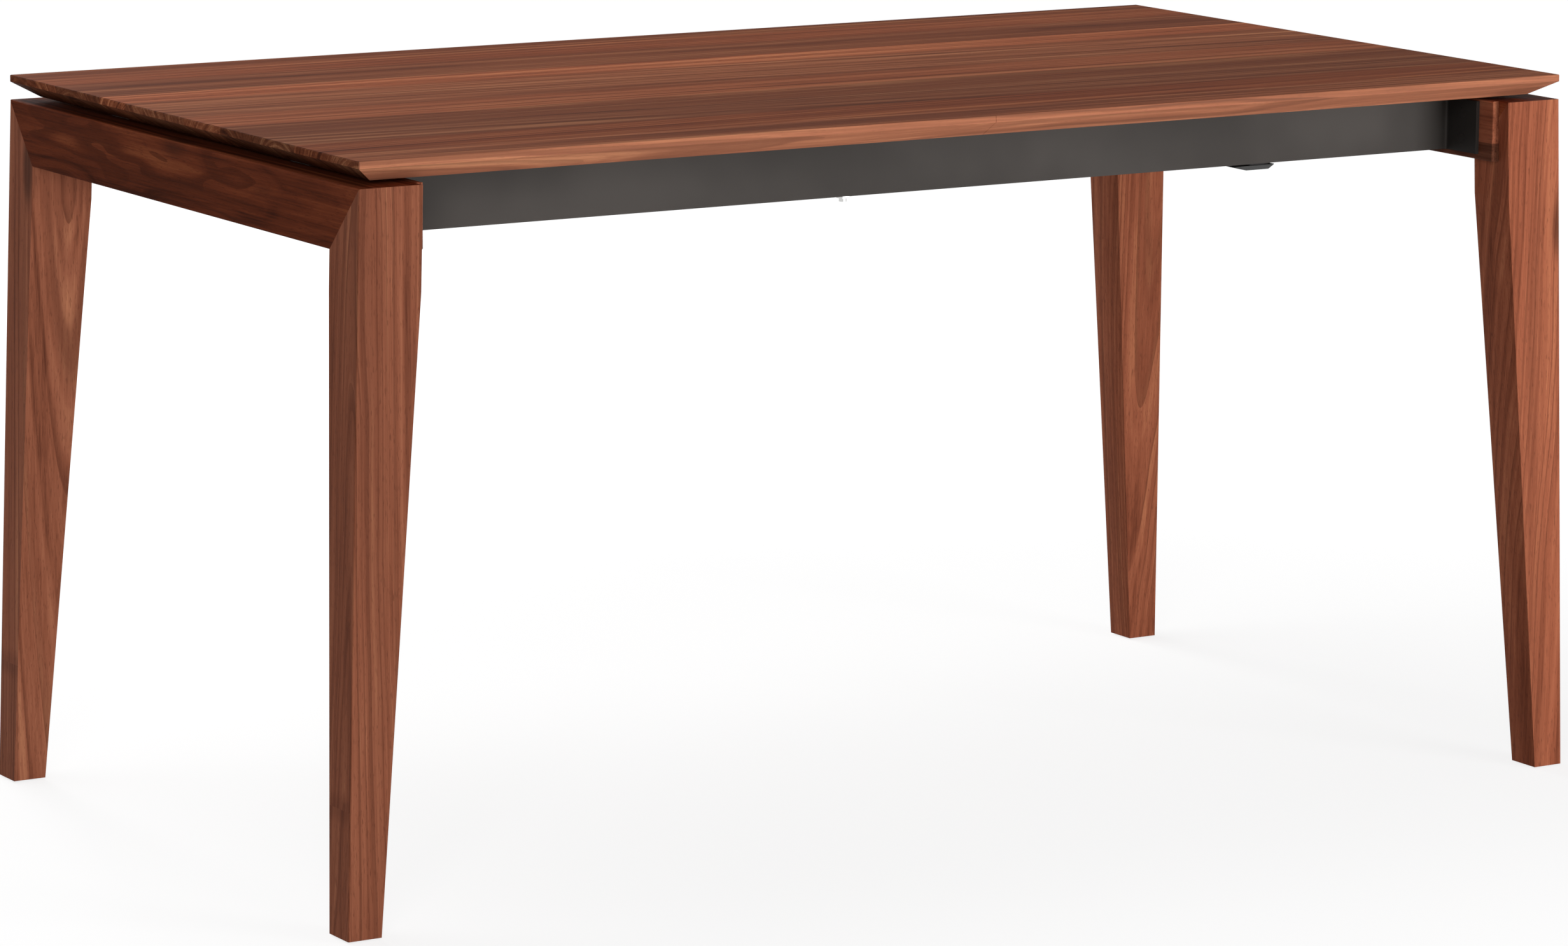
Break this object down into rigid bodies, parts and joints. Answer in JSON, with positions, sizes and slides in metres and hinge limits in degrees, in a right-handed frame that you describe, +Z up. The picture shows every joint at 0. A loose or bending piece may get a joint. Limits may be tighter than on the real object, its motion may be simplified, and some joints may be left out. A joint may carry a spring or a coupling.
{
  "type": "extending dining table",
  "caption": "Walnut dining table with tapered legs on mitred end frames, dark steel aprons and a split top that slides apart on geared runners for a stored folding leaf.",
  "frame": {"origin": "on the floor under the middle of the top", "axes": "+X along the length, +Y to the rear long side, +Z up"},
  "size_m": [1.4738, 0.8, 0.75],
  "materials": {
    "walnut_top": "satin oiled walnut, long staves",
    "walnut_frame": "satin oiled walnut",
    "walnut_leaf": "satin oiled walnut",
    "beech": "planed",
    "apron_steel": "satin dark grey powder coat",
    "black_steel": "satin black powder coat",
    "guide_aluminium": "anodised",
    "zinc_steel": "zinc plated",
    "bright_steel": "bright",
    "brass": "satin",
    "nylon": "matt",
    "felt": "felt"
  },
  "bodies": {
    "base": {"apron_front": "apron_steel", "apron_rear": "apron_steel", "axle_nuts": "bright_steel", "beam_bolts": "zinc_steel", "cross_beam_left": "black_steel", "cross_beam_middle": "black_steel", "cross_beam_right": "black_steel", "flange_bolts": "black_steel", "foot_glides": "nylon", "guide_front": "guide_aluminium", "guide_rear": "guide_aluminium", "leaf_dowels": "beech", "leaf_felt_pads": "felt", "leaf_hinge_pins": "brass", "leaf_hinge_plates": "brass", "leaf_lower": "walnut_leaf", "leaf_upper": "walnut_leaf", "leg_front_left": "walnut_frame", "leg_front_right": "walnut_frame", "leg_rear_left": "walnut_frame", "leg_rear_right": "walnut_frame", "lock_bracket": "black_steel", "lock_pin": "zinc_steel", "mitre_tongues": "beech", "pinion_axle": "bright_steel", "pinion_bracket": "zinc_steel", "rail_glide_pads": "nylon", "rail_left": "walnut_frame", "rail_right": "walnut_frame", "tie_board_left": "walnut_frame", "tie_board_right": "walnut_frame"},
    "left_half": {"top_left": "walnut_top", "runner_left_front": "beech", "runner_left_rear": "beech", "rack_left": "zinc_steel", "rack_hanger_left": "zinc_steel", "top_screws_left": "zinc_steel"},
    "right_half": {"top_right": "walnut_top", "runner_right_front": "beech", "runner_right_rear": "beech", "rack_right": "zinc_steel", "rack_hanger_right": "zinc_steel", "top_screws_right": "zinc_steel", "top_dowels": "beech", "strike_strip": "black_steel"},
    "pinion": {"pinion": "zinc_steel"},
    "lock_lever": {"lock_lever": "black_steel"}
  },
  "joints": [
    {"name": "left_half_slide", "type": "slide", "parent": "base", "child": "left_half", "axis": [-1, 0, 0], "range_m": [0, 0.25]},
    {"name": "right_half_slide", "type": "slide", "parent": "base", "child": "right_half", "axis": [1, 0, 0], "range_m": [0, 0.25]},
    {"name": "pinion_turn", "type": "hinge", "parent": "base", "child": "pinion", "pos_m": [0, -0.105, 0.656], "axis": [0, 0, 1], "range_deg": [-637, 0]},
    {"name": "lock_lever_turn", "type": "hinge", "parent": "base", "child": "lock_lever", "pos_m": [0.374, -0.281, 0.686], "axis": [1, 0, 0], "range_deg": [0, 10]}
  ],
  "couplings": [
    {"joint": "right_half_slide", "follows": "left_half_slide", "ratio": 1},
    {"joint": "pinion_turn", "follows": "left_half_slide", "rad_per_m": -44.444}
  ]
}
